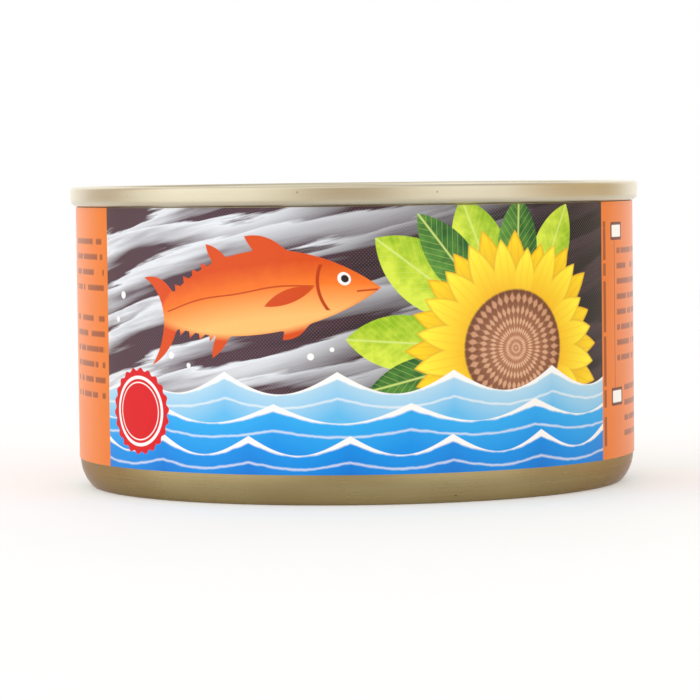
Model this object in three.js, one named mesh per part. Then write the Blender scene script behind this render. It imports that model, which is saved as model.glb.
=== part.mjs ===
// A round, shallow food can: a drawn body, a lid rolled on with a double seam, and a paper label wrapped
// round the wall. The can is shut, so the body is solid. The origin is the centre of the standing ring,
// on the plane that the can rests on, with +Z up and the middle of the label's front at -Y.
import * as THREE from 'three';

// Driving dimensions in millimetres
const CAN_HEIGHT = 46.0; // standing ring to the crest of the seam
const SEAM_RADIUS = 43.65; // outside of the double seam
const SEAM_HEIGHT = 2.95; // crest of the seam down to its lower edge
const SEAM_THICKNESS = 1.6; // across the crest
const SEAM_CREST_ROUND = 0.55;
const SEAM_FOOT_ROUND = 1.0;
const WALL_RADIUS = 42.7; // outside of the drawn wall
const WALL_THICKNESS = 0.55; // of the stretch that stands round the lid
const CORNER_RADIUS = 6.28; // long curve from the wall in towards the base
const CORNER_SWEEP = THREE.MathUtils.degToRad(42);
const TOE_RADIUS = 0.9; // tight curve from there on to the standing ring
const RING_INNER_RADIUS = 38.6; // inner edge of the standing ring
const BASE_RISE = 1.2; // base panel above the standing ring
const CHUCK_FOOT_RADIUS = 41.3; // foot of the lid's tapered inner wall
const PLUG_RADIUS = 41.95; // outside of the lid where it sits in the body
const COUNTERSINK_DEPTH = 5.4; // crest of the seam to the bottom of the lid's groove
const COUNTERSINK_ROUND = 0.5;
const PANEL_DEPTH = 4.7; // crest of the seam to the lid's panel
const LID_SHEET = 0.35;
const LABEL_BOTTOM = 4.55; // lower edge of the paper above the standing ring
const LABEL_HEIGHT = 38.4; // up to just under the seam
const PAPER = 0.12;
const ASSEMBLY_GAP = 0.3; // hidden, between the lid and the body under it
const SURFACE_GAP = 0.05; // between touching skins

// Pressed steps in the round panels, from the outside in: where each one is and how far it rises
const STEP_WIDTH = 2.4;
const LID_STEPS = [
  { radius: 34, rise: 0.4 },
  { radius: 27, rise: -0.4 },
  { radius: 19, rise: 0.3 },
];
const BASE_STEPS = [{ radius: 25, rise: 0.5 }];

// Facets: round the can, in each step and in each arc of an outline
const AROUND = 72;
const STEP_POINTS = 3;
const ARC_DIVISIONS = 2;

const QUARTER = Math.PI / 2;

// The upper side of a pressed panel, from its outer edge to the axis, each step an S curve
function panelProfile(outerRadius, level, steps) {
  const points = [new THREE.Vector2(outerRadius, level)];
  let height = level;
  for (const { radius, rise } of steps) {
    for (let i = 0; i <= STEP_POINTS; i++) {
      const along = i / STEP_POINTS;
      const lift = (1 - Math.cos(Math.PI * along)) / 2;
      points.push(new THREE.Vector2(radius + STEP_WIDTH * (0.5 - along), height + rise * lift));
    }
    height += rise;
  }
  points.push(new THREE.Vector2(0, height));
  return points;
}

function lineThrough(outline, points) {
  for (const point of points) {
    outline.lineTo(point.x, point.y);
  }
}

// Turns an outline of radius and height about the can's axis
function turned(outline) {
  const geometry = new THREE.LatheGeometry(outline.getPoints(ARC_DIVISIONS), AROUND);
  geometry.rotateX(QUARTER);
  return geometry;
}

// The wall, its rounded corner, the standing ring and the recessed base, with a shallow seat for the lid
function bodyGeometry() {
  const cornerRadius = WALL_RADIUS - CORNER_RADIUS;
  const cornerHeight = TOE_RADIUS + (CORNER_RADIUS - TOE_RADIUS) * Math.sin(CORNER_SWEEP);
  const toeRadius = cornerRadius + (CORNER_RADIUS - TOE_RADIUS) * Math.cos(CORNER_SWEEP);
  const rimHeight = CAN_HEIGHT - SEAM_HEIGHT - SURFACE_GAP;
  const seatHeight = CAN_HEIGHT - COUNTERSINK_DEPTH - LID_SHEET - ASSEMBLY_GAP;
  const seatRadius = WALL_RADIUS - WALL_THICKNESS;
  const base = panelProfile(RING_INNER_RADIUS - BASE_RISE, BASE_RISE, BASE_STEPS).reverse();

  const outline = new THREE.Path();
  outline.moveTo(base[0].x, base[0].y);
  lineThrough(outline, base.slice(1));
  outline.lineTo(RING_INNER_RADIUS, 0);
  outline.absarc(toeRadius, TOE_RADIUS, TOE_RADIUS, -QUARTER, -CORNER_SWEEP);
  outline.absarc(cornerRadius, cornerHeight, CORNER_RADIUS, -CORNER_SWEEP, 0);
  outline.lineTo(WALL_RADIUS, rimHeight);
  outline.lineTo(seatRadius, rimHeight);
  outline.lineTo(seatRadius, seatHeight);
  outline.lineTo(0, seatHeight);
  return turned(outline);
}

// The lid: a pressed panel, the groove round it, the tapered wall and the rolled seam, as one sheet
function lidGeometry() {
  const seamFoot = CAN_HEIGHT - SEAM_HEIGHT;
  const crest = CAN_HEIGHT - SEAM_CREST_ROUND;
  const grooveBottom = CAN_HEIGHT - COUNTERSINK_DEPTH;
  const grooveMiddle = CHUCK_FOOT_RADIUS - COUNTERSINK_ROUND;
  const grooveEnd = -1.5 * QUARTER; // the groove's curve ends on a slope of 45 degrees
  const panelLevel = CAN_HEIGHT - PANEL_DEPTH;
  const slopeRadius = grooveMiddle + COUNTERSINK_ROUND * Math.cos(grooveEnd);
  const slopeHeight = grooveBottom + COUNTERSINK_ROUND * (1 + Math.sin(grooveEnd));
  const panelRadius = slopeRadius - (panelLevel - slopeHeight);
  const panelTop = panelProfile(panelRadius, panelLevel, LID_STEPS);
  const panelUnder = panelProfile(panelRadius, panelLevel - LID_SHEET, LID_STEPS).reverse();

  const outline = new THREE.Path();
  outline.moveTo(panelUnder[0].x, panelUnder[0].y);
  lineThrough(outline, panelUnder.slice(1));
  outline.lineTo(slopeRadius, grooveBottom - LID_SHEET);
  outline.lineTo(PLUG_RADIUS, grooveBottom - LID_SHEET);
  outline.lineTo(PLUG_RADIUS, seamFoot);
  outline.absarc(SEAM_RADIUS - SEAM_FOOT_ROUND, seamFoot + SEAM_FOOT_ROUND, SEAM_FOOT_ROUND, -QUARTER, 0);
  outline.absarc(SEAM_RADIUS - SEAM_CREST_ROUND, crest, SEAM_CREST_ROUND, 0, QUARTER);
  const innerRound = SEAM_RADIUS - SEAM_THICKNESS + SEAM_CREST_ROUND;
  outline.absarc(innerRound, crest, SEAM_CREST_ROUND, QUARTER, 2 * QUARTER);
  const grooveHeight = grooveBottom + COUNTERSINK_ROUND;
  outline.absarc(grooveMiddle, grooveHeight, COUNTERSINK_ROUND, 0, grooveEnd, true);
  lineThrough(outline, panelTop);
  return turned(outline);
}

// The paper: a thin tube whose end laps over its start at the back, with the cut edge standing up
function labelGeometry() {
  const innerRadius = WALL_RADIUS + SURFACE_GAP;
  const lapFacet = AROUND / 4;
  const outer = [];
  const inner = [];
  for (let i = 0; i < AROUND; i++) {
    const angle = (2 * Math.PI * i) / AROUND;
    const direction = new THREE.Vector2(Math.cos(angle), Math.sin(angle));
    const single = direction.clone().multiplyScalar(innerRadius + PAPER);
    const lapped = direction.clone().multiplyScalar(innerRadius + 2 * PAPER);
    inner.push(direction.clone().multiplyScalar(innerRadius));
    if (i !== lapFacet + 1) {
      outer.push(single);
    }
    if (i === lapFacet || i === lapFacet + 1) {
      outer.push(lapped);
    }
  }
  const section = new THREE.Shape(outer);
  section.holes.push(new THREE.Path(inner));
  return new THREE.ExtrudeGeometry(section, { depth: LABEL_HEIGHT, bevelEnabled: false });
}

function subPart(name, geometry, finish) {
  const mesh = new THREE.Mesh(geometry, new THREE.MeshStandardMaterial(finish));
  mesh.name = name;
  return mesh;
}

const can = new THREE.Group();
can.add(subPart('can_body', bodyGeometry(), { color: 0xb3a277, roughness: 0.4, metalness: 0.9 }));
can.add(subPart('lid', lidGeometry(), { color: 0xcfc09a, roughness: 0.36, metalness: 0.9 }));
const label = subPart('label', labelGeometry(), { color: 0xe88a48, roughness: 0.42, metalness: 0 });
label.position.z = LABEL_BOTTOM;
can.add(label);

export default can;
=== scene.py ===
import math

import bpy
from mathutils import Matrix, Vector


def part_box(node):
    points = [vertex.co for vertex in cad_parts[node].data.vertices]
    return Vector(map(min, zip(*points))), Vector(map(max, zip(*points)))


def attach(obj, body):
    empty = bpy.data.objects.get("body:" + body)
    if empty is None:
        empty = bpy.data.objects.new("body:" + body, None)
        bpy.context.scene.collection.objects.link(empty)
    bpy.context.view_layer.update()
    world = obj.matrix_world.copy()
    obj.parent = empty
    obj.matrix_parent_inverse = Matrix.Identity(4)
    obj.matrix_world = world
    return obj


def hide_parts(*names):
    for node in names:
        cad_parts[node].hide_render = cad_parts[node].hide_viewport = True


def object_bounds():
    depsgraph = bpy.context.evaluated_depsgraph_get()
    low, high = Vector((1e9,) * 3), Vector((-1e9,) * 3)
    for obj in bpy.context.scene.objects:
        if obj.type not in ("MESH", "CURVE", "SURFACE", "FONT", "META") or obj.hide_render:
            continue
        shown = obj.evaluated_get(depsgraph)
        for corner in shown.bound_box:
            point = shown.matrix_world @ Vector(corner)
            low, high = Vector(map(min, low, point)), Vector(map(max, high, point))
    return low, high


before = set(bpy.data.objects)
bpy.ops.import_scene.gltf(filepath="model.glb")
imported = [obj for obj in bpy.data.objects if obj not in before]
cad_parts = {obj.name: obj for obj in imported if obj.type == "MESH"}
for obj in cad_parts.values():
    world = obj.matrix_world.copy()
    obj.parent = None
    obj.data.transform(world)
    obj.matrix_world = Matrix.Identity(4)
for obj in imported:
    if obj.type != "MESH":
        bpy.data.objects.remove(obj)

MM = 0.001
TURN = 2 * math.pi
CAD_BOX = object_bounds()

# Sizes that the frame gives
CAN_HEIGHT = CAD_BOX[1].z
SEAM_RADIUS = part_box("lid")[1].x
LID_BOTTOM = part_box("lid")[0].z
WALL_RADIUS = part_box("can_body")[1].x
WALL_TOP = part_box("can_body")[1].z
LABEL_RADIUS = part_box("label")[1].x
LABEL_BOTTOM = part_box("label")[0].z
LABEL_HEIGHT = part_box("label")[1].z - LABEL_BOTTOM

# Sizes of the drawn body
CORNER_RADIUS = 6.28 * MM
CORNER_SWEEP = math.radians(42)
TOE_RADIUS = 0.9 * MM
RING_INNER_RADIUS = 38.6 * MM
RING_ROUND = 0.5 * MM
BASE_RISE = 1.2 * MM
BASE_STEPS = ((25 * MM, 0.5 * MM),)
WALL_THICKNESS = 0.55 * MM
SEAT_GAP = 0.3 * MM  # hidden, between the lid and the body under it

# Sizes of the lid and its double seam
SEAM_HEIGHT = 2.95 * MM
SEAM_THICKNESS = 1.6 * MM
SEAM_CREST_ROUND = 0.55 * MM
SEAM_FOOT_ROUND = 1.0 * MM
CHUCK_FOOT_RADIUS = 41.3 * MM
PLUG_RADIUS = 41.95 * MM
GROOVE_DEPTH = 5.4 * MM
GROOVE_ROUND = 0.5 * MM
GROOVE_FLOOR_WIDTH = 0.707 * MM
PANEL_DEPTH = 4.7 * MM
PANEL_ROUND = 0.8 * MM
LID_SHEET = 0.35 * MM
LID_STEPS = ((34 * MM, 0.4 * MM), (27 * MM, -0.4 * MM), (19 * MM, 0.3 * MM))
STEP_WIDTH = 2.4 * MM
STEP_ROUND = 2.6 * MM

# Sizes of the paper
PAPER = 0.12 * MM
LAP_CLEARANCE = 0.01 * MM
LAP_ANGLE = math.radians(10)
LAP_RISE = 0.5  # share of the lap in which the upper end climbs over the lower one
LAP_SOFTNESS = 0.3
HIDDEN_SHARE = 0.42  # share of the lap that the lower end reaches

# How finely the turned and wrapped pieces are cut
AROUND = 240
FILLET_STEPS = 10
LABEL_COLUMNS = 296
SHARP_ANGLE = math.radians(38)
WELD = 0.001 * MM


class Wire:
    """One socket of a node tree. Arithmetic on it adds Math nodes to that tree."""

    def __init__(self, tree, socket=None):
        self.tree = tree
        self.socket = socket

    def node(self, kind, settings=None, sockets=None, output=0):
        """Adds a node, its settings first, then its sockets' values or links, and gives one output."""
        made = self.tree.nodes.new(kind)
        for name, value in (settings or {}).items():
            setattr(made, name, value)
        for name, value in (sockets or {}).items():
            if isinstance(value, Wire):
                self.tree.links.new(value.socket, made.inputs[name])
            else:
                made.inputs[name].default_value = value
        return Wire(self.tree, made.outputs[output]) if len(made.outputs) else made

    def output(self, name):
        """Another output of the node that this socket belongs to."""
        return Wire(self.tree, self.socket.node.outputs[name])

    def math(self, operation, *values, clamp=False):
        settings = {"operation": operation, "use_clamp": clamp}
        return self.node("ShaderNodeMath", settings, dict(enumerate(values)))

    def vector(self, operation, *values, output=0):
        settings = {"operation": operation}
        return self.node("ShaderNodeVectorMath", settings, dict(enumerate(values)), output)

    def __add__(self, other):
        return self.math("ADD", self, other)

    def __radd__(self, other):
        return self.math("ADD", other, self)

    def __sub__(self, other):
        return self.math("SUBTRACT", self, other)

    def __rsub__(self, other):
        return self.math("SUBTRACT", other, self)

    def __mul__(self, other):
        return self.math("MULTIPLY", self, other)

    def __rmul__(self, other):
        return self.math("MULTIPLY", other, self)

    def __truediv__(self, other):
        return self.math("DIVIDE", self, other)

    def __rtruediv__(self, other):
        return self.math("DIVIDE", other, self)

    def __neg__(self):
        return self.math("MULTIPLY", self, -1.0)

    def __abs__(self):
        return self.math("ABSOLUTE", self)

    def least(self, other):
        return self.math("MINIMUM", self, other)

    def most(self, other):
        return self.math("MAXIMUM", self, other)

    def joined(self, other, blend):
        """The nearer of two distances, with a rounded join."""
        return self.math("SMOOTH_MIN", self, other, blend)

    def sine(self, rate=1.0, phase=0.0):
        return self.math("SINE", self.math("MULTIPLY_ADD", self, rate, phase))

    def ramp(self, start, end):
        """0 at start, 1 at end, and straight between them."""
        return self.math("MULTIPLY_ADD", self, 1 / (end - start), -start / (end - start), clamp=True)

    def axes(self):
        """The x and y of a vector."""
        x = self.node("ShaderNodeSeparateXYZ", {}, {0: self})
        return x, x.output("Y")

    def local(self, at, turn=0.0, size=(1.0, 1.0)):
        """Flat coordinates as seen from a motif's own place, turn in degrees and size."""
        sockets = {
            "Vector": self,
            "Location": (*at, 0.0),
            "Rotation": (0.0, 0.0, math.radians(turn)),
            "Scale": (*size, 1.0),
        }
        return self.node("ShaderNodeMapping", {"vector_type": "TEXTURE"}, sockets)

    def length(self):
        return self.vector("LENGTH", self, output="Value")

    def away_from(self, at):
        return self.vector("DISTANCE", self, (*at, 0.0), output="Value")

    def noise(self, scale, detail=2.0, stretch=(1.0, 1.0, 1.0)):
        """Cloudy noise from 0 to 1, stretched along an axis by a small factor."""
        place = self.vector("MULTIPLY", self, stretch)
        return self.node("ShaderNodeTexNoise", {}, {"Vector": place, "Scale": scale, "Detail": detail})

    def blended(self, mask, colour):
        """This colour with another over it where the mask is 1."""
        return self.node("ShaderNodeMix", {"data_type": "RGBA"}, {0: mask, 6: self, 7: colour}, 2)

    def between(self, low, high):
        """A colour from low to high as this value goes from 0 to 1."""
        return self.node("ShaderNodeMix", {"data_type": "RGBA"}, {0: self, 6: low, 7: high}, 2)

    def bump(self, strength, depth):
        """A shading normal that takes this value as the surface's height."""
        return self.node("ShaderNodeBump", {}, {"Strength": strength, "Distance": depth, "Height": self})


# Turned and wrapped shapes, made by Geometry Nodes
def new_tree(name, inputs):
    """A Geometry Nodes tree with named inputs. Gives their wires by name."""
    tree = bpy.data.node_groups.new(name, "GeometryNodeTree")
    tree.interface.new_socket("Geometry", in_out="OUTPUT", socket_type="NodeSocketGeometry")
    for label, kind in inputs.items():
        tree.interface.new_socket(label, in_out="INPUT", socket_type="NodeSocket" + kind)
    given = tree.nodes.new("NodeGroupInput")
    return {label: Wire(tree, given.outputs[label]) for label in inputs}


def end_tree(shape, finish, printed=None, print_finish=None):
    """Ends a tree in plain geometry with its materials, the print only where its face is."""
    shape = shape.node("GeometryNodeRealizeInstances", {}, {"Geometry": shape})
    shape = shape.node("GeometryNodeSetMaterial", {}, {"Geometry": shape, "Material": finish})
    if printed:
        sockets = {"Geometry": shape, "Selection": printed, "Material": print_finish}
        shape = shape.node("GeometryNodeSetMaterial", {}, sockets)
    shape.node("NodeGroupOutput", {}, {"Geometry": shape})
    return shape.tree


def smoothed(shape):
    """Smooth shading, with the edges that turn sharply kept crisp."""
    shape = shape.node("GeometryNodeSetShadeSmooth", {"domain": "FACE"}, {"Geometry": shape})
    angle = shape.node("GeometryNodeInputMeshEdgeAngle")
    crisp = angle.node("FunctionNodeCompare", {"operation": "GREATER_THAN"}, {0: angle, 1: SHARP_ANGLE})
    sockets = {"Geometry": shape, "Selection": crisp, "Shade Smooth": False}
    return shape.node("GeometryNodeSetShadeSmooth", {"domain": "EDGE"}, sockets)


def turned_tree():
    """Rounds the corners of an outline of radius and height, and turns it about the can's axis."""
    given = new_tree(
        "Turned sheet metal",
        {
            "Geometry": "Geometry",
            "Path radius": "Float",
            "Segments": "Int",
            "Fillet steps": "Int",
            "Finish": "Material",
        },
    )
    line = given["Geometry"].node("GeometryNodeMeshToCurve", {}, {0: given["Geometry"]})
    round_by = line.node("GeometryNodeInputNamedAttribute", {"data_type": "FLOAT"}, {"Name": "fillet"})
    sockets = {"Curve": line, "Count": given["Fillet steps"], "Radius": round_by, "Limit Radius": True}
    line = line.node("GeometryNodeFilletCurve", {"mode": "POLY"}, sockets)
    inwards = line.node("ShaderNodeCombineXYZ", {}, {"X": -given["Path radius"]})
    upright = {"Geometry": line, "Translation": inwards, "Scale": (1.0, -1.0, 1.0)}
    line = line.node("GeometryNodeTransform", {}, upright)
    sockets = {"Resolution": given["Segments"], "Radius": given["Path radius"]}
    path = line.node("GeometryNodeCurvePrimitiveCircle", {"mode": "RADIUS"}, sockets)
    shape = line.node("GeometryNodeCurveToMesh", {}, {"Curve": path, "Profile Curve": line})
    shape = shape.node("GeometryNodeMergeByDistance", {}, {"Geometry": shape, "Distance": WELD})
    return end_tree(smoothed(shape), given["Finish"])


def wrapped_tree():
    """Bends a flat sheet round the wall, with one end lying over the other, and gives it thickness."""
    given = new_tree(
        "Wrapped paper",
        {
            "Inner radius": "Float",
            "Bottom": "Float",
            "Height": "Float",
            "Paper": "Float",
            "Lap angle": "Float",
            "Columns": "Int",
            "Bare paper": "Material",
            "Print": "Material",
        },
    )
    start = given["Columns"]
    sockets = {"Size X": 1.0, "Size Y": 1.0, "Vertices X": given["Columns"] + 1, "Vertices Y": 2}
    sheet = start.node("GeometryNodeMeshGrid", {}, sockets)
    along, up = start.node("GeometryNodeInputPosition").axes()
    angle = (along + 0.5) * (given["Lap angle"] * HIDDEN_SHARE + TURN) - math.pi
    height = (up + 0.5) * given["Height"]
    outside = given["Inner radius"] + given["Paper"]
    spot = start.node("ShaderNodeCombineXYZ", {}, {"X": angle * outside / MM, "Y": height / MM})
    sockets = {"Geometry": sheet, "Name": "print", "Value": spot}
    sheet = start.node(
        "GeometryNodeStoreNamedAttribute", {"data_type": "FLOAT2", "domain": "CORNER"}, sockets
    )
    lapped = (given["Lap angle"] - math.pi - angle) / (given["Lap angle"] * LAP_RISE)
    lift = lapped.joined(1.0, LAP_SOFTNESS).most(0.0) * (given["Paper"] + LAP_CLEARANCE)
    radius = given["Inner radius"] + lift
    sockets = {
        "X": angle.sine() * radius,
        "Y": -(angle.sine(1.0, TURN / 4) * radius),
        "Z": given["Bottom"] + height,
    }
    place = start.node("ShaderNodeCombineXYZ", {}, sockets)
    inner = start.node("GeometryNodeSetPosition", {}, {"Geometry": sheet, "Position": place})
    sockets = {"Mesh": inner, "Offset Scale": given["Paper"], "Individual": False}
    outer = start.node("GeometryNodeExtrudeMesh", {"mode": "FACES"}, sockets)
    top = outer.output("Top")
    back = start.node("GeometryNodeFlipFaces", {}, {"Mesh": inner})
    both = start.node("GeometryNodeJoinGeometry", {}, {"Geometry": back})
    start.tree.links.new(outer.socket, both.socket.node.inputs["Geometry"])
    both = start.node("GeometryNodeMergeByDistance", {}, {"Geometry": both, "Distance": WELD})
    return end_tree(smoothed(both), given["Bare paper"], top, given["Print"])


def shaped(name, tree, mesh, values):
    """Runs a tree on a mesh, with its inputs set, and keeps the result as a plain mesh."""
    piece = bpy.data.objects.new(name, mesh)
    bpy.context.scene.collection.objects.link(piece)
    modifier = piece.modifiers.new(tree.name, "NODES")
    modifier.node_group = tree
    for socket in tree.interface.items_tree:
        if socket.name in values:
            modifier[socket.identifier] = values[socket.name]
    graph = bpy.context.evaluated_depsgraph_get()
    result = bpy.data.meshes.new_from_object(piece.evaluated_get(graph))
    for slot in range(len(result.materials) - 1, -1, -1):
        if result.materials[slot] is None:
            result.materials.pop(index=slot)
    piece.modifiers.remove(modifier)
    piece.data = result
    return piece


def outline_mesh(name, corners):
    """An outline of (radius, height, fillet) corners, from the top of the axis round to its foot."""
    mesh = bpy.data.meshes.new(name)
    points = [(radius, height, 0.0) for radius, height, _ in corners]
    mesh.from_pydata(points, [(i, i + 1) for i in range(len(points) - 1)], [])
    fillet = mesh.attributes.new("fillet", "FLOAT", "POINT")
    for item, (_, _, size) in zip(fillet.data, corners):
        item.value = size
    return mesh


def pressed_panel(level, steps):
    """Corners of a round panel with pressed steps, from the centre out, at the level of its edge."""
    corners = []
    for radius, rise in steps:
        corners.append((radius + STEP_WIDTH / 2, level, STEP_ROUND))
        level += rise
        corners.append((radius - STEP_WIDTH / 2, level, STEP_ROUND))
    corners.append((0.0, level, 0.0))
    return corners[::-1]


def body_corners():
    """The seat under the lid, the wall, the rounded corner, the standing ring and the base panel."""
    seat_radius = WALL_RADIUS - WALL_THICKNESS
    seat = LID_BOTTOM - SEAT_GAP
    toe = WALL_RADIUS - CORNER_RADIUS + (CORNER_RADIUS - TOE_RADIUS) * math.cos(CORNER_SWEEP)
    corner = TOE_RADIUS + (CORNER_RADIUS - TOE_RADIUS) * math.sin(CORNER_SWEEP)
    toe_turn = TURN / 4 - CORNER_SWEEP
    base = pressed_panel(BASE_RISE, BASE_STEPS)
    return [
        (0.0, seat, 0.0),
        (seat_radius, seat, 0.0),
        (seat_radius, WALL_TOP, 0.0),
        (WALL_RADIUS, WALL_TOP, 0.0),
        (WALL_RADIUS, corner - CORNER_RADIUS * math.tan(CORNER_SWEEP / 2), CORNER_RADIUS),
        (toe + TOE_RADIUS * math.tan(toe_turn / 2), 0.0, TOE_RADIUS),
        (RING_INNER_RADIUS, 0.0, RING_ROUND),
        (RING_INNER_RADIUS - BASE_RISE, BASE_RISE, RING_ROUND),
        *base[::-1],
    ]


def lid_corners():
    """The pressed panel, the groove, the tapered wall, the rolled seam and the hidden underside."""
    groove = CAN_HEIGHT - GROOVE_DEPTH
    panel = CAN_HEIGHT - PANEL_DEPTH
    seam_foot = CAN_HEIGHT - SEAM_HEIGHT
    groove_inner = CHUCK_FOOT_RADIUS - GROOVE_FLOOR_WIDTH
    panel_edge = groove_inner - (panel - groove)
    top = pressed_panel(panel, LID_STEPS)
    under = [(radius, height - LID_SHEET, fillet) for radius, height, fillet in top[::-1]]
    return [
        *top,
        (panel_edge, panel, PANEL_ROUND),
        (groove_inner, groove, GROOVE_ROUND),
        (CHUCK_FOOT_RADIUS, groove, GROOVE_ROUND),
        (SEAM_RADIUS - SEAM_THICKNESS, CAN_HEIGHT, SEAM_CREST_ROUND),
        (SEAM_RADIUS, CAN_HEIGHT, SEAM_CREST_ROUND),
        (SEAM_RADIUS, seam_foot, SEAM_FOOT_ROUND),
        (PLUG_RADIUS, seam_foot, 0.0),
        (PLUG_RADIUS, LID_BOTTOM, 0.0),
        (groove_inner, LID_BOTTOM, 0.0),
        (panel_edge, panel - LID_SHEET, 0.0),
        *under,
    ]


# Finishes
def ink(red, green, blue):
    """A printed or painted colour, given as it looks on a screen, from 0 to 255."""

    def linear(value):
        value /= 255
        return value / 12.92 if value <= 0.04045 else ((value + 0.055) / 1.055) ** 2.4

    return (linear(red), linear(green), linear(blue), 1.0)


def new_finish(name):
    """An empty material, as a wire into its tree."""
    material = bpy.data.materials.new(name)
    material.use_nodes = True
    material.node_tree.nodes.clear()
    return material, Wire(material.node_tree)


def end_finish(wire, sockets):
    """Ends a material in one shader with these sockets."""
    surface = wire.node("ShaderNodeBsdfPrincipled", {}, sockets)
    wire.node("ShaderNodeOutputMaterial", {}, {"Surface": surface})


# Lacquer: its two tones, and its tint where it is seen along the surface
LID_GOLD = (ink(190, 181, 156), ink(204, 196, 174))
# The body's two tones and its edge tint are darker than the lid's: painted shade, standing in for the dim,
# shadowed floor that the base band reflects
BODY_GOLD_PAINTED_SHADE = (ink(155, 137, 95), ink(172, 155, 113))
LID_EDGE = ink(255, 255, 255)
BODY_EDGE_PAINTED_SHADE = ink(196, 179, 178)
SPECK = ink(70, 58, 42)
# Grain of the tinplate, in cycles a metre: rolling lines, cloudy patches, satin tooth and cells for specks
LINES = 2600.0
CLOUDS = 55.0
TOOTH = 9000.0
SPECK_CELLS = 300.0
SPECK_EDGE = (0.055, 0.03)  # outside and inside of a speck's soft edge, in cells
STREAK = 0.008  # how little the lines change along their own direction
LINE_TONE = 0.3  # share of the lines in the tone, with clouds for the rest
TONE_RANGE = (0.3, 0.7)
PANEL_CONTRAST = 0.3  # of the lines on a flat panel, against those on a wall
METAL_RELIEF = 0.01 * MM
LINE_RELIEF = 0.2
TOOTH_RELIEF = 0.5
LINE_ROUGHNESS = 0.03
CLOUD_ROUGHNESS = 0.08


def gold_lacquer(name, shades, edge, coat, rough, specks, panel_radius):
    """Pale gold lacquer on tinplate: faint rolling lines, a fine satin tooth and a few tiny specks."""
    material, wire = new_finish(name)
    place = wire.node("ShaderNodeTexCoord", {}, {}, "Object")
    round_lines = place.noise(LINES, 3.0, (STREAK, STREAK, 1.0))
    straight_lines = (place.noise(LINES, 3.0, (STREAK, 1.0, STREAK)) - 0.5) * PANEL_CONTRAST + 0.5
    from_axis = place.vector("MULTIPLY", place, (1.0, 1.0, 0.0)).length()
    panel = from_axis.ramp(panel_radius, panel_radius - GROOVE_FLOOR_WIDTH)
    lines = round_lines + (straight_lines - round_lines) * panel
    clouds = place.noise(CLOUDS, 2.0)
    tooth = place.noise(TOOTH, 2.0)
    colour = (lines * LINE_TONE + clouds * (1 - LINE_TONE)).ramp(*TONE_RANGE).between(*shades)
    cells = wire.node("ShaderNodeTexVoronoi", {}, {"Vector": place, "Scale": SPECK_CELLS})
    colour = colour.blended(cells.ramp(*SPECK_EDGE) * specks, SPECK)
    relief = lines * LINE_RELIEF + tooth * TOOTH_RELIEF
    end_finish(
        wire,
        {
            "Base Color": colour,
            "Metallic": 1.0,
            "Roughness": rough + clouds * CLOUD_ROUGHNESS + lines * LINE_ROUGHNESS,
            "Specular Tint": edge,
            "Coat Weight": coat,
            "Coat Roughness": 0.22,
            "Normal": relief.bump(0.25, METAL_RELIEF),
        },
    )
    return material


PAPER_FIBRES = 4000.0  # in cycles a metre
FIBRE_RELIEF = 0.02 * MM
BARE_PAPER = (ink(226, 220, 208), ink(246, 242, 234))


def bare_paper():
    """The uncoated back and cut edges of the label."""
    material, wire = new_finish("label_bare_paper")
    place = wire.node("ShaderNodeTexCoord", {}, {}, "Object")
    fibres = place.noise(PAPER_FIBRES, 3.0)
    end_finish(
        wire,
        {
            "Base Color": fibres.between(*BARE_PAPER),
            "Roughness": 0.8,
            "Normal": fibres.bump(0.3, FIBRE_RELIEF),
        },
    )
    return material


# The print, drawn in millimetres from the middle of the front at the label's lower edge
INK_EDGE = 0.1
PICTURE_MIDDLE = -0.1
PICTURE_HALF = 44.0
LABEL_TOP = LABEL_HEIGHT / MM

DARK_PLUM = ink(17, 12, 15)
PLUM = ink(74, 48, 59)
LILAC = ink(226, 232, 240)
DUSKY_LILAC = ink(60, 44, 52)
ORANGE = (ink(228, 118, 34), ink(232, 126, 42))
IVORY = ink(250, 240, 216)
BROWN = ink(108, 46, 20)
RED = ink(214, 10, 24)
WHITE = ink(246, 246, 246)


def inside(distance, edge=INK_EDGE):
    """1 where a distance is below zero, with a soft edge."""
    return distance.math("MULTIPLY_ADD", distance, -1 / edge, 0.5, clamp=True)


def nearest(distances):
    """The least of several distances."""
    least, *rest = distances
    for distance in rest:
        least = least.least(distance)
    return least


def disc(place, at, radius):
    return place.away_from(at) - radius


def lens(place, at, length, width, turn=0.0):
    """A leaf-like shape between two arcs that meet in points."""
    half = length / 2
    bulge = width / 2
    arc = (half * half + bulge * bulge) / (2 * bulge)
    mirrored = place.local(at, turn)
    return mirrored.vector("ABSOLUTE", mirrored).away_from((0.0, bulge - arc)) - arc


def bar(place, at, size, corner):
    """A rectangle with round corners."""
    half = (size[0] / 2 - corner, size[1] / 2 - corner, 0.0)
    mirrored = place.local(at)
    beyond = mirrored.vector("SUBTRACT", mirrored.vector("ABSOLUTE", mirrored), half)
    return beyond.vector("MAXIMUM", beyond, (0.0, 0.0, 0.0)).length() - corner


def field(place, block, corner):
    """A rectangle given by its left, right, low and high edges."""
    left, right, low, high = block
    return bar(place, ((left + right) / 2, (low + high) / 2), (right - left, high - low), corner)


# Ribbons: their slant in degrees, the step from one to the next, how many, and how ragged they are
RIBBON_TURN = 13.0
RIBBON_STEP = 4.1
RIBBON_COUNT = 11
RIBBON_EDGE = 0.5
RIBBON_RAGGED = 5.5
RIBBON_PALE = 0.3  # depth down to which a ribbon is palest
DUSK = (-16.0, 27.0)  # where the ribbons darken, from left to right
DUSK_RAGGED = 46.0
BRUSH = 0.5  # brush marks, in cycles a millimetre
BRUSH_STRETCH = (0.13, 1.5, 1.0)


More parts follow.
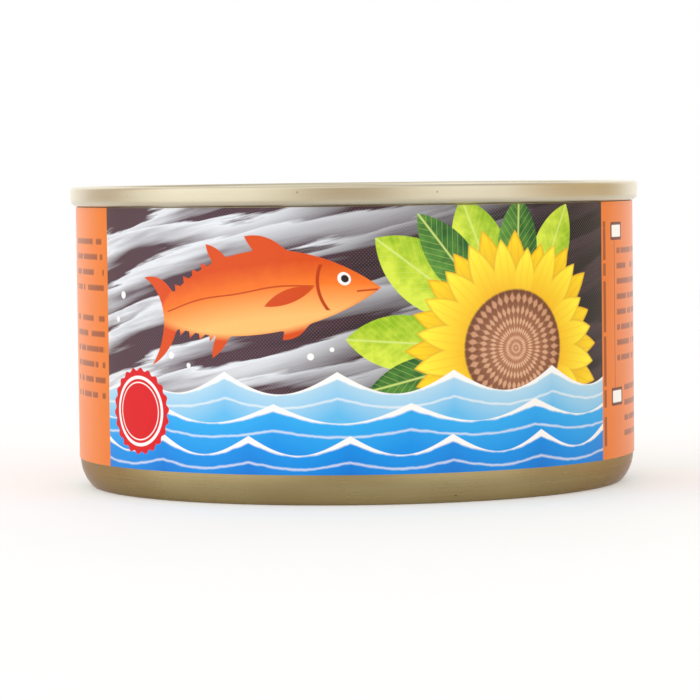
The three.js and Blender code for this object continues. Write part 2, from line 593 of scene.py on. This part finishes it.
def wind_ribbons(place, u):
    """Overlapping brushed ribbons that sweep up to the right, pale along the top and lost in the dark."""
    own = place.local((0.0, 0.0), RIBBON_TURN)
    along, up = own.axes()
    brush = own.noise(BRUSH, 5.0, BRUSH_STRETCH) - 0.5
    ragged = up + brush * RIBBON_RAGGED
    dusk = (u + brush * DUSK_RAGGED).ramp(*DUSK)
    pale = dusk.between(LILAC, DUSKY_LILAC)
    deep = dusk.between(PLUM, DARK_PLUM)
    colour = deep
    for i in range(RIBBON_COUNT, 0, -1):
        # Swell, length and fade differ from one ribbon to the next
        swell = 1.0 + 0.25 * (i % 4)
        length = 52.0 + 7.0 * (3 * i % 5)
        fade = 2.6 + 0.5 * (3 * i % 4)
        below = along.sine(TURN / length, 2.4 * i) * swell + RIBBON_STEP * i - ragged
        ribbon = below.ramp(RIBBON_PALE, fade).between(pale, deep)
        colour = colour.blended(inside(-below, RIBBON_EDGE), ribbon)
    return colour


SCREEN_PITCH = 0.52
SCREEN_DOT = (0.1, 0.7)  # outer edge and middle of a dot, on waves that cross
SCREEN_INK = ink(206, 196, 206)
SCREEN_WEIGHT = 0.09


def ink_screen(colour, u, v):
    """A faint screen of fine ink dots over the tones."""
    dots = (u.sine(TURN / SCREEN_PITCH) * v.sine(TURN / SCREEN_PITCH)).ramp(*SCREEN_DOT)
    return colour.blended(dots * SCREEN_WEIGHT, SCREEN_INK)


# Height, swell, length and phase of each row of waves, and its colours along the crest and below
WAVES = (
    (11.6, 3.2, 17.0, 0.5, ink(178, 216, 238), ink(96, 186, 238)),
    (7.4, 2.8, 20.0, 1.9, ink(48, 172, 240), ink(4, 142, 230)),
    (2.8, 2.8, 15.0, 0.2, ink(6, 146, 232), ink(2, 112, 208)),
)
WAVE_SHADE = 6.0  # depth at which a row has its lower colour
FOAM = (0.16, 0.9)  # thickness in the trough, and what a peak adds
RIPPLE = (2.0, 1.8)  # depth of a fine line under the foam in the trough, and what a peak adds
RIPPLE_HALF = 0.13
RIPPLE_WEIGHT = 0.7
FROTH = 0.5  # unevenness of foam and ripple
FROTH_GRAIN = 0.45
FROTH_EDGE = 0.3


def rolling_sea(colour, place, u, v):
    """Three rows of peaked waves with foam along their crests."""
    froth = (place.noise(FROTH_GRAIN, 2.0) - 0.5) * FROTH
    for base, swell, length, phase, crest, trough in WAVES:
        peak = 1.0 - abs(u.sine(math.pi / length, phase))
        below = peak * swell + base - v
        water = below.ramp(0.0, WAVE_SHADE).between(crest, trough)
        foam = inside(below - peak * FOAM[1] - FOAM[0] + froth, FROTH_EDGE)
        under = abs(below - peak * RIPPLE[1] - RIPPLE[0] + froth) - RIPPLE_HALF
        ripple = inside(under, FROTH_EDGE) * RIPPLE_WEIGHT
        water = water.blended(foam.most(ripple), WHITE)
        colour = colour.blended(inside(-below), water)
    return colour


LIME = (ink(146, 188, 24), ink(214, 232, 72))
GREEN = (ink(34, 92, 36), ink(92, 148, 56))
VEIN = ink(214, 232, 130)
VEIN_PITCH = 2.6
VEIN_SLANT = 1.3
VEIN_HALF = 0.12  # on the wave that spaces the veins
VEIN_EDGE = 0.3
VEIN_WEIGHT = 0.4
RIB_HALF = 0.14
RIB_EDGE = 0.2
RIB_WEIGHT = 0.85
LEAF_GRAIN = 0.5
LEAF_LIT = 0.07  # how much paler a leaf gets across, for each millimetre
LEAF_TONES = (0.25, 0.75)


def leaf(colour, place, at, length, width, turn, deep, pale):
    """A leaf with a pale midrib and slanting side veins."""
    shape = lens(place, at, length, width, turn)
    x, y = place.local(at, turn).axes()
    side = abs(y)
    spaced = abs((x - side * VEIN_SLANT).sine(TURN / VEIN_PITCH))
    veins = inside(spaced - VEIN_HALF, VEIN_EDGE) * VEIN_WEIGHT
    rib = inside(side - RIB_HALF, RIB_EDGE) * RIB_WEIGHT
    shade = (place.noise(LEAF_GRAIN, 3.0) + y * LEAF_LIT).ramp(*LEAF_TONES).between(deep, pale)
    shade = shade.blended(veins.most(rib), VEIN)
    return colour.blended(inside(shape), shade)


# The flower: its place and reach, and sizes that are shares of the reach
FLOWER_AT = (24.5, 17.6)
FLOWER_REACH = 17.0
PETAL_MIDDLE = (0.62, 0.0)
PETAL_SIZE = (0.76, 0.25)
PETAL_UNEVEN = 0.14
PETAL_SHADE = (0.45, 0.9)
PETAL_EDGE = 0.012
PETAL_EDGE_SOFT = 0.02
PETAL_EDGE_WEIGHT = 0.55
PETAL_EDGE_INK = ink(206, 122, 16)
FOLD_AT = 0.035
FOLD_HALF = 0.004
FOLD_EDGE = 0.012
FOLD_WEIGHT = 0.35
SEED_HEAD = 0.5
SEED_HEAD_EDGE = 0.02
SEED_MIDDLE = 0.1
SEED_SPIRALS = 21.0
SEED_RINGS = 34.0
SEED_SPACING = 0.6  # power of the radius that spaces the rings
SEED_GRAIN = 1.6
SEED_UNEVEN = 0.9
SEED_TONES = (-0.1, 0.5)
SEED_TAN = (ink(226, 184, 150), ink(196, 142, 108))
SEED_BROWN = (ink(178, 122, 92), ink(112, 66, 42))
# Petals in a ring, turn of the ring in petals, length, and the colours at the foot and the tip
PETAL_RINGS = (
    (20, 0.5, 1.0, ink(226, 150, 20), ink(248, 214, 30)),
    (20, 0.0, 0.93, ink(240, 178, 24), ink(252, 236, 60)),
)


def petal_ring(colour, angle, far, petals, turn, length, deep, pale):
    """Pointed petals round a flower, each a little longer or shorter than the next."""
    share = angle * (petals / TURN) + turn
    which = share.math("FLOORED_MODULO", share.math("FLOOR", share), petals)
    luck = which.node("ShaderNodeTexWhiteNoise", {"noise_dimensions": "1D"}, {"W": which})
    bend = (share.math("FRACT", share) - 0.5) * (TURN / petals)
    across = far * bend.sine()
    reach = luck * PETAL_UNEVEN + length * (1 - PETAL_UNEVEN / 2)
    along = far * bend.math("COSINE", bend) / reach
    place = along.node("ShaderNodeCombineXYZ", {}, {"X": along, "Y": across})
    petal = lens(place, PETAL_MIDDLE, *PETAL_SIZE)
    hue = along.ramp(*PETAL_SHADE).between(deep, pale)
    folds = inside(abs(abs(across) - FOLD_AT) - FOLD_HALF, FOLD_EDGE) * FOLD_WEIGHT
    hue = hue.blended(folds, deep)
    edge = inside(-petal - PETAL_EDGE, PETAL_EDGE_SOFT)
    hue = hue.blended(edge * PETAL_EDGE_WEIGHT, PETAL_EDGE_INK)
    return colour.blended(inside(petal, INK_EDGE / FLOWER_REACH), hue)


def sunflower(colour, place):
    """Two rings of petals round a tan seed head laid out in crossing spirals."""
    own = place.local(FLOWER_AT, 0.0, (FLOWER_REACH, FLOWER_REACH))
    x, y = own.axes()
    angle = x.math("ARCTAN2", y, x)
    far = own.length()
    for ring in PETAL_RINGS:
        colour = petal_ring(colour, angle, far, *ring)
    outwards = far.math("POWER", far, SEED_SPACING) * SEED_RINGS
    around = angle * SEED_SPIRALS
    seeds = (around + outwards).sine() * (outwards - around).sine()
    seeds = seeds + (place.noise(SEED_GRAIN, 2.0) - 0.5) * SEED_UNEVEN
    rim = far.ramp(SEED_MIDDLE, SEED_HEAD)
    head = seeds.ramp(*SEED_TONES).between(rim.between(*SEED_BROWN), rim.between(*SEED_TAN))
    return colour.blended(inside(far - SEED_HEAD, SEED_HEAD_EDGE), head)


# Direction from the flower, distance, length and width of each leaf, and its colours
LEAVES = (
    (64.0, 15.5, 15.0, 7.0, LIME),
    (212.0, 16.5, 17.0, 8.0, LIME),
    (112.0, 15.0, 17.0, 8.5, LIME),
    (176.0, 17.5, 17.0, 8.0, LIME),
    (88.0, 14.5, 15.0, 7.0, GREEN),
    (143.0, 17.5, 19.0, 9.0, LIME),
    (128.0, 16.5, 17.0, 6.6, GREEN),
    (194.0, 16.0, 15.0, 5.8, GREEN),
)


def leafy_flower(colour, place):
    """The sunflower with its leaves spread out behind it."""
    for direction, distance, length, width, greens in LEAVES:
        side = math.radians(direction)
        at = (FLOWER_AT[0] + distance * math.cos(side), FLOWER_AT[1] + distance * math.sin(side))
        colour = leaf(colour, place, at, length, width, direction, *greens)
    return sunflower(colour, place)


# The fish: its place, slant in degrees, bend and size, and the round shapes on it by place and radius
FISH_AT = (-14.2, 25.4)
FISH_TURN = 7.0
FISH_BEND = 0.005
FISH_ARCH = 0.8
FISH_SIZE = (36.0, 12.0)
TAIL = ((-20.0, 0.0), 6.4)
TAIL_CUT = ((-24.2, 0.0), 7.8)
TAIL_BLEND = 1.4
GILL = ((15.2, 0.2), 6.2)
EYE = ((12.9, 1.2), 0.95)
PUPIL = ((13.0, 1.2), 0.55)
FINLET_PITCH = 1.7
FINLET_HEIGHT = 0.9
FINLET_SLOPE = 0.6  # share of the pitch along which a finlet falls away
FINLETS_AT = -6.5 * FINLET_PITCH
FINLETS_HALF = 2 * FINLET_PITCH
# Place, length, width and slant of each fin round the fish, and of the one on its side
FINS = (
    ((2.6, 5.9), 8.5, 3.0, 146.0),
    ((-5.4, 5.6), 6.4, 2.0, 126.0),
    ((-6.4, -5.6), 6.4, 2.0, 52.0),
    ((5.2, -5.5), 5.6, 2.2, 36.0),
)
SIDE_FIN = ((4.6, -1.0), 8.0, 2.0, 196.0)
FIN_BLEND = 0.8
# The fine lines on the fish
FISH_LINE_EDGE = 0.16
FLANK_AT = (-3.5, 0.4)
FLANK_HALF = (12.0, 0.1)  # half length and half thickness
FLANK_WAVE = (0.5, 0.15)  # rate and height
GILL_END = 11.2
GILL_HALF = (3.3, 0.24)  # half height and half thickness
MOUTH_CORNER = (14.4, -0.6)
MOUTH_SLOPE = 0.12
MOUTH_MIDDLE = 16.0
MOUTH_HALF = (1.5, 0.12)  # half length and half thickness
# Where one colour of the fish gives way to the next
BELLY_TO_FLANK = (-3.8, 0.6)
FLANK_TO_BACK = (0.8, 4.6)
BODY_TO_FIN = (-0.4, 0.7)
BACK_GRAIN = 0.6
BACK_UNEVEN = 1.2
BELLY = ink(253, 190, 112)
FLANK = ink(244, 124, 40)
BACK = ink(214, 76, 18)
FIN = ink(206, 72, 18)
FISH_LINE = ink(184, 58, 14)
PUPIL_INK = ink(40, 30, 34)


def fish_lines(own, x, y):
    """The line along the flank, the gill and the mouth."""
    flank = abs(y - x.sine(FLANK_WAVE[0]) * FLANK_WAVE[1] - FLANK_AT[1]) - FLANK_HALF[1]
    flank = flank.most(abs(x - FLANK_AT[0]) - FLANK_HALF[0])
    gill = abs(disc(own, *GILL)) - GILL_HALF[1]
    gill = gill.most(x - GILL_END).most(abs(y) - GILL_HALF[0])
    mouth = abs(y - MOUTH_CORNER[1] - (x - MOUTH_CORNER[0]) * MOUTH_SLOPE) - MOUTH_HALF[1]
    mouth = mouth.most(abs(x - MOUTH_MIDDLE) - MOUTH_HALF[0])
    return nearest([flank, gill, mouth])


def leaping_fish(colour, place):
    """An orange fish in a leap, with a crescent tail, swept fins, small finlets and a paler belly."""
    x, y = place.local(FISH_AT, FISH_TURN).axes()
    y = y + x * x * FISH_BEND - FISH_ARCH
    own = x.node("ShaderNodeCombineXYZ", {}, {"X": x, "Y": y})
    body = lens(own, (0.0, 0.0), *FISH_SIZE)
    shape = body.joined(disc(own, *TAIL), TAIL_BLEND).most(-disc(own, *TAIL_CUT))
    for fin in FINS:
        shape = shape.joined(lens(own, *fin), FIN_BLEND)
    finlets = body - x.math("FRACT", x / FINLET_PITCH).ramp(FINLET_SLOPE, 0.0) * FINLET_HEIGHT
    shape = shape.least(finlets.most(abs(x - FINLETS_AT) - FINLETS_HALF))
    hue = y.ramp(*BELLY_TO_FLANK).between(BELLY, FLANK)
    back = (y + place.noise(BACK_GRAIN, 2.0) * BACK_UNEVEN).ramp(*FLANK_TO_BACK)
    hue = hue.blended(back.most(body.ramp(*BODY_TO_FIN)), BACK)
    colour = colour.blended(inside(shape), hue)
    colour = colour.blended(inside(fish_lines(own, x, y), FISH_LINE_EDGE), FISH_LINE)
    colour = colour.blended(inside(lens(own, *SIDE_FIN)), FIN)
    colour = colour.blended(inside(disc(own, *EYE)), WHITE)
    return colour.blended(inside(disc(own, *PUPIL)), PUPIL_INK)


SEAL_AT = (-36.0, 8.6)
SEAL_RADIUS = 6.2
SEAL_LOBES = 22
SEAL_SCALLOP = 0.22
SEAL_RINGS = ((0.8, 0.24), (0.68, 0.09))  # radius as a share of the seal's, and half width


def red_seal(colour, place):
    """A plain round seal with a scalloped edge and two white rings."""
    own = place.local(SEAL_AT)
    x, y = own.axes()
    far = own.length()
    scallop = x.math("ARCTAN2", y, x).sine(SEAL_LOBES) * SEAL_SCALLOP
    colour = colour.blended(inside(far - scallop - SEAL_RADIUS), RED)
    rings = nearest([abs(far - SEAL_RADIUS * share) - half for share, half in SEAL_RINGS])
    return colour.blended(inside(rings), WHITE)


# Water drops thrown up round the fish: place and radius
DROPS = (
    ((-39.5, 25.6), 0.55),
    ((-41.0, 22.0), 0.4),
    ((-29.0, 17.0), 0.5),
    ((-25.8, 15.6), 0.36),
    ((-6.5, 17.0), 0.5),
    ((-3.4, 18.0), 0.34),
)


def front_picture(place, u, v):
    """The picture panel: ribbons, flower, waves, drops, fish and seal, one over the other."""
    colour = ink_screen(wind_ribbons(place, u), u, v)
    colour = leafy_flower(colour, place)
    colour = rolling_sea(colour, place, u, v)
    for at, radius in DROPS:
        colour = colour.blended(inside(disc(place, at, radius)), WHITE)
    colour = leaping_fish(colour, place)
    return red_seal(colour, place)


# Blocks of dashes on the side and back panels and in the table: left, right, low, high
DASH_PITCH = 2.3
DASH_BLOCKS = (
    (-59.5, -45.3, 25.3, 34.5),
    (-59.5, -45.3, 9.2, 23.0),
    (49.5, 66.0, 13.8, 32.2),
    (52.8, 66.0, 2.3, 11.5),
    (-99.0, -66.0, 20.7, 34.5),
    (-99.0, -66.0, 6.9, 18.4),
    (116.0, 128.0, 6.9, 34.5),
    (-128.0, -105.0, 6.9, 34.5),
)
UPRIGHT_BLOCKS = ((2.0, 35.5, -20 * DASH_PITCH, -19 * DASH_PITCH),)
BLOCK_CORNER = 0.1
FIRST_DASH = 1.4  # least length of the dash that a row starts with
DASH_HALF = 0.18  # half thickness, as a share of the pitch
DASH_WEIGHT = 0.7
DASH_RATE = 0.5  # dashes along a row, in cycles a millimetre
DASH_SHIFT = 7.3  # from one row to the next, so that no two are alike
DASH_FROM = (0.4, 0.43)  # the noise at which a dash starts
TABLE = (74.0, 110.0, 3.0, 36.0)
TABLE_CORNER = 0.8
TABLE_PITCH = 3.0
TABLE_BORDER_HALF = 0.14
TABLE_RULE = 0.03  # half thickness, as a share of the pitch
TABLE_COLUMN = 0.62  # share of the width to the left of the upright rule
TABLE_COLUMN_HALF = 0.09
TABLE_BLOCKS = ((76.0, 94.0, 3.0, 33.0), (98.0, 108.0, 3.0, 33.0))
BOXES = ((49.4, 34.0), (49.4, 9.2))
BOX_SIZE = (4.6, 2.7)
BOX_BORDER = 0.45
BOX_CORNERS = (0.3, 0.2)  # of the border outside and inside
RULE = (48.5, 21.6, 11.0)  # place, middle height and half length of the fine line beside the boxes
RULE_HALF = 0.07
LAP_EDGE = -math.pi * LABEL_RADIUS / MM
BARE_EDGE = 0.18
ORANGE_MOTTLE = 0.12


def dash_rows(colour, place, u, v, blocks, pitch):
    """Rows of plain dashes of uneven length in some blocks of a panel."""
    printed = nearest([field(place, block, BLOCK_CORNER) for block in blocks])
    starts = nearest([abs(u - left) - FIRST_DASH for left in sorted({block[0] for block in blocks})])
    rows = v / pitch
    shift = rows.math("FLOOR", rows) * DASH_SHIFT
    spot = u.node("ShaderNodeCombineXYZ", {}, {"X": u * DASH_RATE, "Y": shift})
    dashes = spot.noise(1.0, 1.0).ramp(*DASH_FROM).most(inside(starts))
    line = inside(abs(rows.math("FRACT", rows) - 0.5) - DASH_HALF)
    return colour.blended(inside(printed) * line * dashes * DASH_WEIGHT, BROWN)


def white_box(colour, place, at):
    """A small empty box with a dark border."""
    hollow = (BOX_SIZE[0] - 2 * BOX_BORDER, BOX_SIZE[1] - 2 * BOX_BORDER)
    colour = colour.blended(inside(bar(place, at, BOX_SIZE, BOX_CORNERS[0])), BROWN)
    return colour.blended(inside(bar(place, at, hollow, BOX_CORNERS[1])), WHITE)


def ruled_table(colour, place, u, v):
    """An ivory table with ruled rows under a dark heading."""
    left, right, _, high = TABLE
    edge = field(place, TABLE, TABLE_CORNER)
    rows = v / TABLE_PITCH
    rule = inside(0.5 - TABLE_RULE - abs(rows.math("FRACT", rows) - 0.5), TABLE_RULE)
    column = inside(abs(u - left - (right - left) * TABLE_COLUMN) - TABLE_COLUMN_HALF)
    heading = inside(high - TABLE_PITCH - v)
    sheet = rule.most(column).most(heading).between(IVORY, BROWN)
    colour = colour.blended(inside(edge), sheet)
    return colour.blended(inside(abs(edge) - TABLE_BORDER_HALF), BROWN)


def side_panels(place, u, v):
    """The orange panels: rows of dashes, a ruled table, two boxes and a bare strip along the lap."""
    colour = place.noise(ORANGE_MOTTLE, 2.0).between(*ORANGE)
    colour = dash_rows(colour, place, u, v, DASH_BLOCKS, DASH_PITCH)
    colour = ruled_table(colour, place, u, v)
    colour = dash_rows(colour, place, u, v, TABLE_BLOCKS, TABLE_PITCH)
    upright = place.local((0.0, 0.0), 90.0)
    colour = dash_rows(colour, upright, *upright.axes(), UPRIGHT_BLOCKS, DASH_PITCH)
    at, middle, half = RULE
    colour = colour.blended(inside(abs(u - at) - RULE_HALF) * inside(abs(v - middle) - half), BROWN)
    for spot in BOXES:
        colour = white_box(colour, place, spot)
    return colour.blended(inside(u - LAP_EDGE - BARE_EDGE), IVORY)


PRINT_FIBRES = 9.0  # in cycles a millimetre
PRINT_RIPPLE = 0.09
PRINT_FIBRE_SHARE = 0.06  # of the fibres in the relief, against the ripple
PRINT_RELIEF = 0.06 * MM


def printed_label():
    """Varnished paper with the picture panel at the front and the orange panels round the back."""
    material, wire = new_finish("label_print")
    place = wire.node("ShaderNodeUVMap", {"uv_map": "print"})
    u, v = place.axes()
    panels = side_panels(place, u, v)
    colour = inside(abs(u - PICTURE_MIDDLE) - PICTURE_HALF).between(panels, front_picture(place, u, v))
    fibres = place.noise(PRINT_FIBRES, 3.0)
    relief = fibres * PRINT_FIBRE_SHARE + place.noise(PRINT_RIPPLE, 1.0)
    end_finish(
        wire,
        {
            "Base Color": colour,
            "Roughness": 0.36 + fibres * 0.08,
            "Specular IOR Level": 0.2,
            "Coat Weight": 0.1,
            "Coat Roughness": 0.12,
            "Normal": relief.bump(0.4, PRINT_RELIEF),
        },
    )
    return material


# Pieces of the can
BAKE_STRIPS = 3
BAKE_BAND = 0.03  # share of the layout that the bare paper takes
BAKE_MARGIN = 0.008


def inset(share):
    """A place from 0 to 1, kept off the edges of its strip."""
    return BAKE_MARGIN + (1 - 2 * BAKE_MARGIN) * share


def lay_out_print(mesh):
    """Gives the label a flat layout: the printed face in strips, and the bare paper in a thin band."""
    layout = mesh.uv_layers.new(name="OFBake").data
    spots = mesh.uv_layers["print"].data
    strip = (TURN + LAP_ANGLE * HIDDEN_SHARE) * LABEL_RADIUS / MM / BAKE_STRIPS
    printed = [slot.name for slot in mesh.materials].index("label_print")
    for face in mesh.polygons:
        middle = sum(spots[i].uv.x for i in face.loop_indices) / face.loop_total
        row = min(int((middle - LAP_EDGE) / strip), BAKE_STRIPS - 1)
        for i in face.loop_indices:
            along = (spots[i].uv.x - LAP_EDGE) / strip - row
            up = spots[i].uv.y / LABEL_TOP
            if face.material_index == printed:
                height = (1 - BAKE_BAND) / BAKE_STRIPS
                layout[i].uv = (inset(along), BAKE_BAND + height * (row + inset(up)))
            else:
                layout[i].uv = ((row + along) / BAKE_STRIPS, BAKE_BAND * inset(up))


def dress(piece, node):
    """Hands a finished piece to the frame in place of its CAD node."""
    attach(piece, "root")
    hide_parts(node)


def make_metal(tree, name, corners, finish):
    """A turned piece of the can."""
    values = {
        "Path radius": WALL_RADIUS,
        "Segments": AROUND,
        "Fillet steps": FILLET_STEPS,
        "Finish": finish,
    }
    return shaped(name, tree, outline_mesh(name, corners), values)


def make_label():
    """The wrapped paper with its print."""
    values = {
        "Inner radius": LABEL_RADIUS - PAPER,
        "Bottom": LABEL_BOTTOM,
        "Height": LABEL_HEIGHT,
        "Paper": PAPER,
        "Lap angle": LAP_ANGLE,
        "Columns": LABEL_COLUMNS,
        "Bare paper": bare_paper(),
        "Print": printed_label(),
    }
    label = shaped("paper_label", wrapped_tree(), bpy.data.meshes.new("paper_label"), values)
    lay_out_print(label.data)
    return label


# Studio
IMAGE_WIDTH = 700
FOCAL_PIXELS = 3556.7
EYE_DISTANCE = 550 * MM
EYE_ABOVE_RIM = 2.79 * MM
CAMERA_PITCH = math.radians(2.969)
CAMERA_ROLL = math.radians(0.706)
CAMERA_YAW = math.radians(-0.0934)


def photo_camera():
    """The camera just above the rim's level, a little tilted, as the photograph was taken."""
    data = bpy.data.cameras.new("photo_view")
    data.sensor_width = 36.0
    data.lens = FOCAL_PIXELS * data.sensor_width / IMAGE_WIDTH
    data.clip_start = 0.01
    camera = bpy.data.objects.new("photo_view", data)
    bpy.context.scene.collection.objects.link(camera)
    place = Matrix.Translation((0.0, -EYE_DISTANCE, CAN_HEIGHT + EYE_ABOVE_RIM))
    turn = Matrix.Rotation(-CAMERA_YAW, 4, "Z")
    tilt = Matrix.Rotation(TURN / 4 - CAMERA_PITCH, 4, "X")
    roll = Matrix.Rotation(-CAMERA_ROLL, 4, "Z")
    camera.matrix_world = place @ turn @ tilt @ roll
    bpy.context.scene.camera = camera


# Light round the can: the middle and half width of each soft panel in degrees, and its glow.
# 0 is towards the camera and 90 to the right.
PANELS = (
    (108.0, 36.0, (0.88, 0.68, 0.43, 1.0)),
    (-62.0, 40.0, (1.64, 1.63, 1.6, 1.0)),
    (44.0, 27.0, (1.54, 1.52, 1.49, 1.0)),
    (180.0, 46.0, (1.42, 1.4, 1.36, 1.0)),
)
PANEL_SOFT = 9.0
FRONT_GLOW = (0.66, 0.51, 0.37, 1.0)
CEILING_DIM = (0.6, 0.6, 0.6, 1.0)
CEILING_BRIGHT = (1.5, 1.5, 1.5, 1.0)
CEILING_FROM = (math.sin(math.radians(34)), math.sin(math.radians(50)))
CEILING_TOWARDS = (-0.8, -0.6)  # x and y of the side on which the ceiling is bright
CEILING_SPREAD = 0.75
BACKDROP = (1.0, 1.0, 1.0, 1.0)
GROUND_GLOW = (0.8, 0.79, 0.77, 1.0)
GROUND_FROM = (math.sin(math.radians(-12)), math.sin(math.radians(-40)))


def studio_light():
    """White to the camera. To the can a ring of soft panels, a slanting ceiling light and a dim ground."""
    world = bpy.data.worlds.new("studio")
    bpy.context.scene.world = world
    world.use_nodes = True
    world.node_tree.nodes.clear()
    wire = Wire(world.node_tree)
    towards = wire.node("ShaderNodeTexCoord", {}, {}, "Generated")
    x, y = towards.axes()
    side = x.math("ARCTAN2", x, -y) * (360 / TURN)
    colour = None
    for middle, half, glow in PANELS:
        off = side - middle
        off = abs(off).least(360.0 - abs(off))
        share = off.ramp(half + PANEL_SOFT, half - PANEL_SOFT)
        colour = colour.blended(share, glow) if colour else share.between(FRONT_GLOW, glow)
    slant = x * CEILING_TOWARDS[0] + y * CEILING_TOWARDS[1]
    ceiling = slant.ramp(-CEILING_SPREAD, CEILING_SPREAD).between(CEILING_DIM, CEILING_BRIGHT)
    colour = colour.blended(x.output("Z").ramp(*CEILING_FROM), ceiling)
    colour = colour.blended(x.output("Z").ramp(*GROUND_FROM), GROUND_GLOW)
    seen = wire.node("ShaderNodeLightPath", {}, {}, "Is Camera Ray")
    colour = colour.blended(seen, BACKDROP)
    light = wire.node("ShaderNodeBackground", {}, {"Color": colour, "Strength": 1.0})
    wire.node("ShaderNodeOutputWorld", {}, {"Surface": light})


FLOOR_HALF = 1.2
FLOOR_FADE = (0.25, 0.9)
FLOOR_COVER = 0.65
FLOOR_MOTTLE = 40.0
FLOOR_TONES = ((0.9, 0.915, 0.925, 1.0), (0.92, 0.935, 0.945, 1.0))


def pale_floor():
    """A pale sheet that fades into the white behind it."""
    mesh = bpy.data.meshes.new("floor")
    corners = [(-1, -1), (1, -1), (1, 1), (-1, 1)]
    mesh.from_pydata([(x * FLOOR_HALF, y * FLOOR_HALF, 0.0) for x, y in corners], [], [(0, 1, 2, 3)])
    material, wire = new_finish("pale_floor")
    place = wire.node("ShaderNodeTexCoord", {}, {}, "Object")
    mottle = place.noise(FLOOR_MOTTLE, 2.0)
    end_finish(
        wire,
        {
            "Base Color": mottle.between(*FLOOR_TONES),
            "Roughness": 0.7,
            "Alpha": place.length().ramp(FLOOR_FADE[1], FLOOR_FADE[0]) * FLOOR_COVER,
        },
    )
    mesh.materials.append(material)
    floor = bpy.data.objects.new("floor", mesh)
    bpy.context.scene.collection.objects.link(floor)


photo_camera()
metal_tree = turned_tree()
# The body's lacquer carries painted shade in its darker tones and edge tint
body_finish_painted_shade = gold_lacquer(
    "body_gold_painted_shade", BODY_GOLD_PAINTED_SHADE, BODY_EDGE_PAINTED_SHADE, coat=0.1, rough=0.22, specks=0.8, panel_radius=RING_INNER_RADIUS
)
lid_finish = gold_lacquer(
    "lid_gold", LID_GOLD, LID_EDGE, coat=0.3, rough=0.3, specks=0.5, panel_radius=CHUCK_FOOT_RADIUS
)
dress(make_metal(metal_tree, "drawn_body", body_corners(), body_finish_painted_shade), "can_body")
dress(make_metal(metal_tree, "seamed_lid", lid_corners(), lid_finish), "lid")
dress(make_label(), "label")
pale_floor()
studio_light()
bpy.context.scene.view_settings.view_transform = "Standard"
